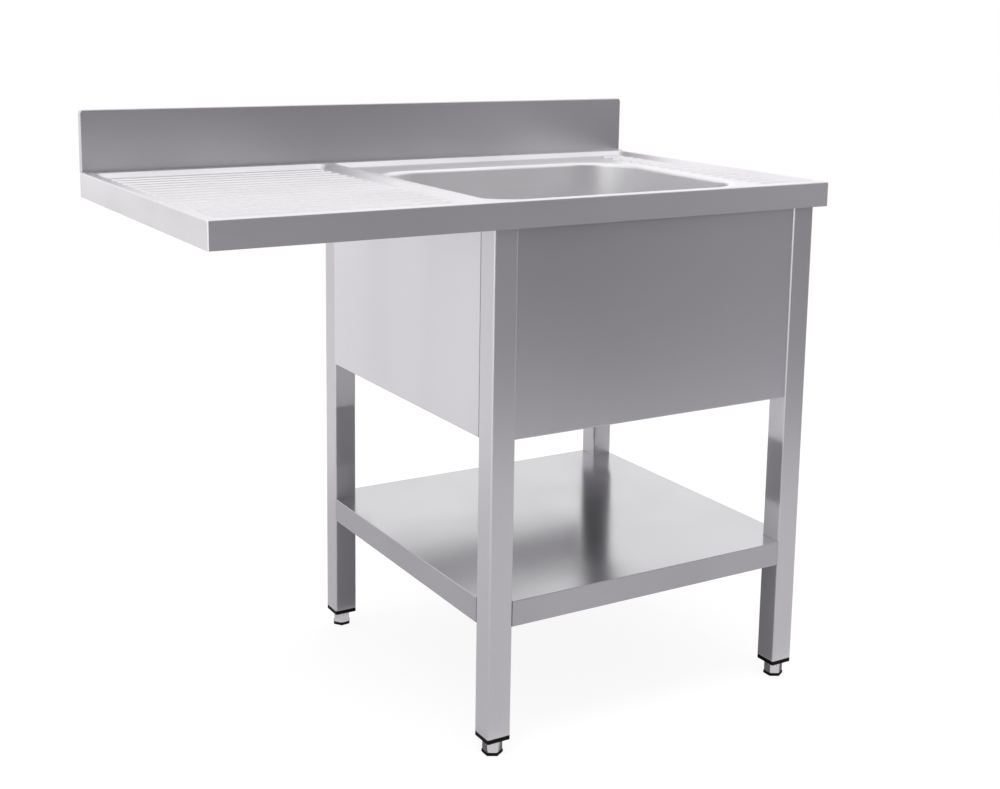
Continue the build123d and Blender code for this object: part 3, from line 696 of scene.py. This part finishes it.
class SINK_OT_fasteners(Operator):
    """Build the hexagon bolts and nuts, and the pan head screws with their cross recesses"""

    bl_idname = "sink.fasteners"
    bl_label = "Fasteners"

    def execute(self, context):
        detail = context.scene.sink_unit.detail
        self.build_bolts(detail)
        self.build_nuts(detail)
        self.build_screws(detail, "panel_screws")
        self.build_screws(detail, "shelf_screws")
        return {"FINISHED"}

    def build_bolts(self, detail):
        """Bolts with chamfered heads and tips, from the head's end along the shank."""
        found = [fastener_place(solid) for solid in separate_solids("leg_bolts")]
        length = found[0][2]
        flats, shank, chamfer, head = detail.bolt_flats, detail.bolt_radius, detail.chamfer, detail.bolt_head
        edge, corner = BOLT_FACE * flats / 2, BOLT_CORNER * corner_reach(flats)
        pattern = turned_mesh("hexagon_bolt", (0, 0), [
            (0, 0, 0), (0, edge, flats), (chamfer, corner, flats), (head, corner, flats),
            (head, shank, 0), (length - chamfer, shank, 0), (length, BOLT_TIP * shank, 0), (length, 0, 0)])
        places = [(place, heading) for place, heading, size in found]
        place_copies("leg_bolts", "hexagon_bolts", places, pattern)

    def build_nuts(self, detail):
        """Nuts chamfered on both ends, that stand level on their channels."""
        bottom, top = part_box("leg_nuts")[0].z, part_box("leg_nuts")[1].z
        height, flats, chamfer = top - bottom, detail.bolt_flats, detail.chamfer
        bore = detail.bolt_radius + BOLT_CLEARANCE
        edge, corner = BOLT_FACE * flats / 2, BOLT_CORNER * corner_reach(flats)
        pattern = turned_mesh("hexagon_nut", (0, 0), [
            (0, bore, 0), (0, edge, flats), (chamfer, corner, flats), (height - chamfer, corner, flats),
            (height, edge, flats), (height, bore, 0)])
        places = []
        for solid in separate_solids("leg_nuts"):
            x = (min(p.x for p in solid) + max(p.x for p in solid)) / 2
            y = (min(p.y for p in solid) + max(p.y for p in solid)) / 2
            places.append((Vector((x, y, bottom)), UP))
        place_copies("leg_nuts", "hexagon_nuts", places, pattern)

    def build_screws(self, detail, node):
        """Screws with domed heads and pointed tips, from the head's top along the shank."""
        found = [fastener_place(solid) for solid in separate_solids(node)]
        length = found[0][2]
        wide, shank, head = detail.screw_head_radius, detail.screw_radius, detail.screw_head
        rounding = head * HEAD_ROUND
        dome = [(rounding * (1 - math.sin(a)), wide - rounding * (1 - math.cos(a)), 0) for a in HEAD_ANGLES]
        blank = turned_mesh("pan_screw", (0, 0), [
            (0, 0, 0), *dome, (head, wide, 0), (head, shank, 0), (length - 2 * shank, shank, 0),
            (length, 0, 0)])
        pattern = self.cut_recess(blank, wide, head)
        places = [(place, heading) for place, heading, size in found]
        place_copies(node, f"cross_{node}", places, pattern)

    def cut_recess(self, blank, wide, head):
        """Take a cross of two slots out of a screw's head."""
        slots = bmesh.new()
        for turn in (0.0, math.pi / 2):
            size = Matrix.Diagonal((SLOT_LENGTH * wide, SLOT_WIDTH * wide, SLOT_HEIGHT * head, 1.0))
            bmesh.ops.create_cube(slots, size=1.0, matrix=Matrix.Rotation(turn, 4, "Z") @ size)
        cross = bpy.data.meshes.new("cross_slots")
        slots.to_mesh(cross)
        slots.free()
        tool, screw = add_object("cross_slots", cross), add_object("pan_screw", blank)
        cut = screw.modifiers.new("recess", "BOOLEAN")
        cut.operation = "DIFFERENCE"
        cut.solver = "EXACT"
        cut.use_self = True
        cut.object = tool
        result = bpy.data.meshes.new_from_object(screw.evaluated_get(bpy.context.evaluated_depsgraph_get()))
        for piece in (tool, screw):
            bpy.data.objects.remove(piece)
        return result


class SINK_OT_feet(Operator):
    """Build the threaded studs and the hexagon sleeves, and finish the inserts and the bases"""

    bl_idname = "sink.feet"
    bl_label = "Feet"

    def execute(self, context):
        detail = context.scene.sink_unit.detail
        tree = thread_tree()
        for corner in CORNERS:
            dress("moulded_black_plastic", f"leg_insert_{corner}", f"foot_base_{corner}")
            self.build_stud(corner, tree, detail)
            self.build_sleeve(corner, detail)
        return {"FINISHED"}

    def build_stud(self, corner, tree, detail):
        """A threaded rod with chamfered ends."""
        node = f"foot_stud_{corner}"
        centre, bottom, top = middle_of(node)
        pitch, depth = detail.stud_pitch, detail.stud_depth
        core = half_width(node) - depth
        thread = run_tree(tree, {
            "Core Radius": core, "Pitch": pitch, "Depth": depth, "Length": top - bottom - 2 * pitch,
            "Material": bpy.data.materials["bright_zinc_plate"]})
        thread.transform(Matrix.Translation((*centre, bottom + pitch)))
        rod = turned_mesh(node, centre, [
            (bottom, 0, 0), (bottom, core - depth, 0), (bottom + pitch / 2, core, 0),
            (top - pitch / 2, core, 0), (top, core - depth, 0), (top, 0, 0)])
        finish_piece(joined(node, rod, thread), f"threaded_stud_{corner}", "bright_zinc_plate",
                     f"stud_{corner}", node)

    def build_sleeve(self, corner, detail):
        """A hexagon bored for its stud, with a seat for its base below and a turned chamfer above."""
        node = f"foot_sleeve_{corner}"
        centre, bottom, top = middle_of(node)
        flats, turn = hexagon_of(node, centre)
        bore = half_width(f"foot_stud_{corner}") + BORE_CLEARANCE
        seat, seat_top = detail.seat_radius, bottom + detail.seat_height
        edge, point, chamfer = flats / 2, SLEEVE_CORNER * corner_reach(flats), detail.chamfer
        sleeve = turned_mesh(node, centre, [
            (bottom, seat, 0), (bottom, SLEEVE_CORNER * point, flats), (bottom + chamfer / 3, point, flats),
            (top - chamfer, point, flats), (top, edge, flats), (top, bore, 0), (seat_top, bore, 0),
            (seat_top, seat, 0)], turn)
        finish_piece(sleeve, f"hexagon_sleeve_{corner}", "turned_steel_foot", f"foot_{corner}",
                     node, sharp=FACET_ANGLE)


class SINK_OT_waste(Operator):
    """Build the waste's threaded body and its backnut, and finish the seals and the standpipe"""

    bl_idname = "sink.waste"
    bl_label = "Waste fitting"

    def execute(self, context):
        detail = context.scene.sink_unit.detail
        dress("polished_chrome_plate", "standpipe")
        dress("moulded_seal_rubber", "waste_upper_seal", "waste_lower_seal", "standpipe_seal")
        self.build_body(detail)
        self.build_backnut(detail)
        return {"FINISHED"}

    def build_body(self, detail):
        """A bored body with a rounded flange above, a neck through the bowl and a threaded outlet below."""
        centre, bottom, top = middle_of("waste_body")
        flange = half_width("waste_body")
        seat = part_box("waste_upper_seal")[1].z
        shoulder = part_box("waste_backnut")[0].z
        pitch, depth = detail.outlet_pitch, detail.outlet_depth
        bore, neck, core = detail.bore_radius, detail.neck_radius, detail.outlet_radius - depth
        thread = run_tree(thread_tree(), {
            "Core Radius": core, "Pitch": pitch, "Depth": depth, "Length": shoulder - bottom - 2 * pitch,
            "Material": bpy.data.materials["polished_chrome_plate"]})
        thread.transform(Matrix.Translation((*centre, bottom + pitch)))
        rise = top - seat
        rounding = rise * FLANGE_ROUND
        dome = [(top - rounding * (1 - math.sin(a)), flange - rounding * (1 - math.cos(a)), 0)
                for a in FLANGE_ANGLES]
        body = turned_mesh("waste_body", centre, [
            (bottom, bore, 0), (bottom, core - depth / 2, 0), (bottom + pitch / 2, core, 0),
            (shoulder, core, 0), (shoulder, neck, 0), (seat, neck, 0), (seat, flange, 0), *dome,
            (top, bore + rise, 0), (top - rise, bore, 0)])
        finish_piece(joined("waste_body", body, thread), "threaded_waste", "polished_chrome_plate", "frame",
                     "waste_body")

    def build_backnut(self, detail):
        """A plastic nut chamfered on both ends."""
        centre, bottom, top = middle_of("waste_backnut")
        flats, turn = hexagon_of("waste_backnut", centre)
        bore, chamfer = detail.neck_radius + BORE_CLEARANCE, 2 * detail.chamfer
        edge, point = BACKNUT_FACE * flats / 2, BACKNUT_CORNER * corner_reach(flats)
        nut = turned_mesh("waste_backnut", centre, [
            (bottom, bore, 0), (bottom, edge, flats), (bottom + chamfer, point, flats),
            (top - chamfer, point, flats), (top, edge, flats), (top, bore, 0)], turn)
        finish_piece(nut, "chamfered_backnut", "moulded_black_plastic", "frame",
                     "waste_backnut", sharp=FACET_ANGLE)


class SINK_OT_stage(Operator):
    """Set the camera, the white surroundings, the floor, the grey cards of painted reflection and painted
    shade, the box of painted highlight and the soft lamp
    """

    bl_idname = "sink.stage"
    bl_label = "Stage"

    def execute(self, context):
        stage = context.scene.sink_unit.stage
        context.scene.view_settings.view_transform = "Standard"
        self.set_camera(context.scene, stage)
        self.set_world(context.scene, stage)
        self.lay_floor(stage)
        for name, colour, left, right, top in UPRIGHT_CARDS:
            self.stand_card(name, getattr(stage, colour), left, right, top)
        for name, colour, low, high, level in LEVEL_CARDS:
            self.lay_card(name, getattr(stage, colour), low, high, level)
        for corner in FRONT_CORNERS:
            self.shade_foot(corner, stage)
        # Painted highlight, mirrored in the steel alone
        self.stand_card("soft_box", stage.highlight_box_colour, *PAINTED_HIGHLIGHT_BOX, stage.highlight_box_strength)
        self.hang_lamp(stage)
        return {"FINISHED"}

    def set_camera(self, scene, stage):
        """The camera at the photograph's place, turned to the right, tilted down and rolled."""
        data = bpy.data.cameras.new("photo_camera")
        data.sensor_width = SENSOR_WIDTH
        data.lens = stage.lens
        data.shift_y = stage.frame_shift
        camera = add_object("photo_camera", data)
        ahead = Vector((math.sin(stage.yaw) * math.cos(stage.pitch),
                        math.cos(stage.yaw) * math.cos(stage.pitch), -math.sin(stage.pitch)))
        right = Vector((math.cos(stage.yaw), -math.sin(stage.yaw), 0.0))
        above = right.cross(ahead)
        rolled_right = math.cos(stage.roll) * right + math.sin(stage.roll) * above
        rolled_above = math.cos(stage.roll) * above - math.sin(stage.roll) * right
        turn = Matrix((rolled_right, rolled_above, -ahead)).transposed()
        camera.matrix_world = Matrix.Translation(stage.camera_place) @ turn.to_4x4()
        scene.camera = camera

    def set_world(self, scene, stage):
        """White for the camera, a little brighter in the steel, and less as light."""
        world = bpy.data.worlds.new("white_surroundings")
        world.use_nodes = True
        tree = world.node_tree
        tree.nodes.clear()
        ray = add_node(tree, "ShaderNodeLightPath").outputs
        clear = add_math(tree, "MAXIMUM", ray["Is Camera Ray"], ray["Is Transmission Ray"])
        seen = add_node(tree, "ShaderNodeMapRange", inputs={
            "Value": clear, "To Min": stage.fill_light, "To Max": 1.0})
        way = add_node(tree, "ShaderNodeTexCoord").outputs["Generated"]
        rise = add_node(tree, "ShaderNodeSeparateXYZ", inputs={"Vector": way}).outputs["Z"]
        mirrored = add_node(tree, "ShaderNodeMapRange", inputs={
            "Value": rise, "From Min": DIMMING_START, "To Min": stage.mirrored_sky,
            "To Max": stage.mirrored_zenith})
        strength = add_node(tree, "ShaderNodeMix", settings={"data_type": "FLOAT"}, inputs={
            0: ray["Is Glossy Ray"], 2: seen.outputs["Result"], 3: mirrored.outputs["Result"]})
        sky = add_node(tree, "ShaderNodeBackground", inputs={
            "Color": (1, 1, 1, 1), "Strength": strength.outputs[0]})
        add_node(tree, "ShaderNodeOutputWorld", inputs={"Surface": sky.outputs["Background"]})
        scene.world = world

    def lay_floor(self, stage):
        """Grey paper that glows white for the camera and in the steel, so that only a soft shadow shows."""
        half = stage.floor_size / 2
        mesh = bpy.data.meshes.new("studio_floor")
        mesh.from_pydata([(-half, -half, 0), (half, -half, 0), (half, half, 0), (-half, half, 0)], [],
                         [(0, 1, 2, 3)])
        material = new_material("paper_floor")
        tree = material.node_tree
        paper = add_node(tree, "ShaderNodeBsdfDiffuse", inputs={"Color": (*stage.floor_colour, 1.0)})
        glow = add_node(tree, "ShaderNodeEmission", inputs={
            "Color": (1, 1, 1, 1), "Strength": stage.floor_white})
        ray = add_node(tree, "ShaderNodeLightPath").outputs
        clear = add_math(tree, "MAXIMUM", ray["Is Camera Ray"], ray["Is Transmission Ray"])
        direct = add_math(tree, "MULTIPLY", clear, stage.floor_glow)
        share = add_math(tree, "MULTIPLY_ADD", ray["Is Glossy Ray"], stage.floor_mirrored, direct)
        mixed = add_node(tree, "ShaderNodeMixShader", inputs={
            0: share, 1: paper.outputs["BSDF"], 2: glow.outputs["Emission"]})
        add_node(tree, "ShaderNodeOutputMaterial", inputs={"Surface": mixed.outputs["Shader"]})
        mesh.materials.append(material)
        self.add_stage("studio_floor", mesh)

    def shade_foot(self, corner, stage):
        """Painted shade on the ground beside a front foot, a dark card that its facets mirror."""
        (x, y), bottom, top = middle_of(f"foot_base_{corner}")
        low, high, level = FOOT_SHADE
        near, far = (x + low[0], y + low[1]), (x + high[0], y + high[1])
        # The card of painted shade that the foot's facets mirror
        self.lay_card(f"flag_{corner}", stage.shade_colour, near, far, level)

    def stand_card(self, name, colour, left, right, top, strength=1.0):
        """An upright card from its lower edge, between two points, to an upper level."""
        self.add_card(name, colour, [left, right, (*right[:2], top), (*left[:2], top)], strength)

    def lay_card(self, name, colour, low, high, level):
        """A level card between two opposite corners."""
        corners = [low, (high[0], low[1]), high, (low[0], high[1])]
        self.add_card(name, colour, [(*corner, level) for corner in corners])

    def add_card(self, name, colour, corners, strength=1.0):
        """A card of one grey that only shows in the steel: painted reflection of the room and the ground, and
        painted shade below the unit and at its legs.
        """
        mesh = bpy.data.meshes.new(name)
        mesh.from_pydata(corners, [], [(0, 1, 2, 3)])
        material = new_material(name)
        tree = material.node_tree
        grey = add_node(tree, "ShaderNodeEmission", inputs={"Color": (*colour, 1.0), "Strength": strength})
        add_node(tree, "ShaderNodeOutputMaterial", inputs={"Surface": grey.outputs["Emission"]})
        mesh.materials.append(material)
        card = self.add_stage(name, mesh)
        card.visible_camera = False
        card.visible_diffuse = False
        card.visible_shadow = False

    def hang_lamp(self, stage):
        """A wide lamp that lights the upper faces evenly, and isn't mirrored in the steel."""
        data = bpy.data.lights.new("soft_lamp", "AREA")
        data.shape = "RECTANGLE"
        data.size = stage.lamp_width
        data.size_y = stage.lamp_depth
        data.energy = stage.lamp_power
        lamp = add_object("soft_lamp", data)
        lamp.location = stage.lamp_place
        lamp.visible_glossy = False

    def add_stage(self, name, mesh):
        """Put a mesh of the stage in the scene."""
        thing = add_object(name, mesh)
        return thing


STEPS = (
    SINK_OT_finishes, SINK_OT_worktop, SINK_OT_bowl, SINK_OT_frame, SINK_OT_panels, SINK_OT_fasteners,
    SINK_OT_feet, SINK_OT_waste, SINK_OT_stage,
)


class SINK_PT_panel(Panel):
    """Lists the steps of the sink unit in the sidebar"""

    bl_idname = "SINK_PT_panel"
    bl_label = "Sink unit"
    bl_space_type = "VIEW_3D"
    bl_region_type = "UI"
    bl_category = "Sink unit"

    def draw(self, context):
        for step in STEPS:
            self.layout.operator(step.bl_idname)
        for group in ("finish", "detail", "stage"):
            settings = getattr(context.scene.sink_unit, group)
            for name in settings.__annotations__:
                self.layout.prop(settings, name)


CLASSES = (SinkFinish, SinkDetail, SinkStage, SinkSettings, *STEPS, SINK_PT_panel)


def register():
    for each in CLASSES:
        bpy.utils.register_class(each)
    bpy.types.Scene.sink_unit = PointerProperty(type=SinkSettings)


def unregister():
    del bpy.types.Scene.sink_unit
    for each in reversed(CLASSES):
        bpy.utils.unregister_class(each)


def main():
    """Dress the unit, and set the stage."""
    register()
    for step in STEPS:
        group, name = step.bl_idname.split(".")
        getattr(getattr(bpy.ops, group), name)()


if __name__ == "__main__":
    main()
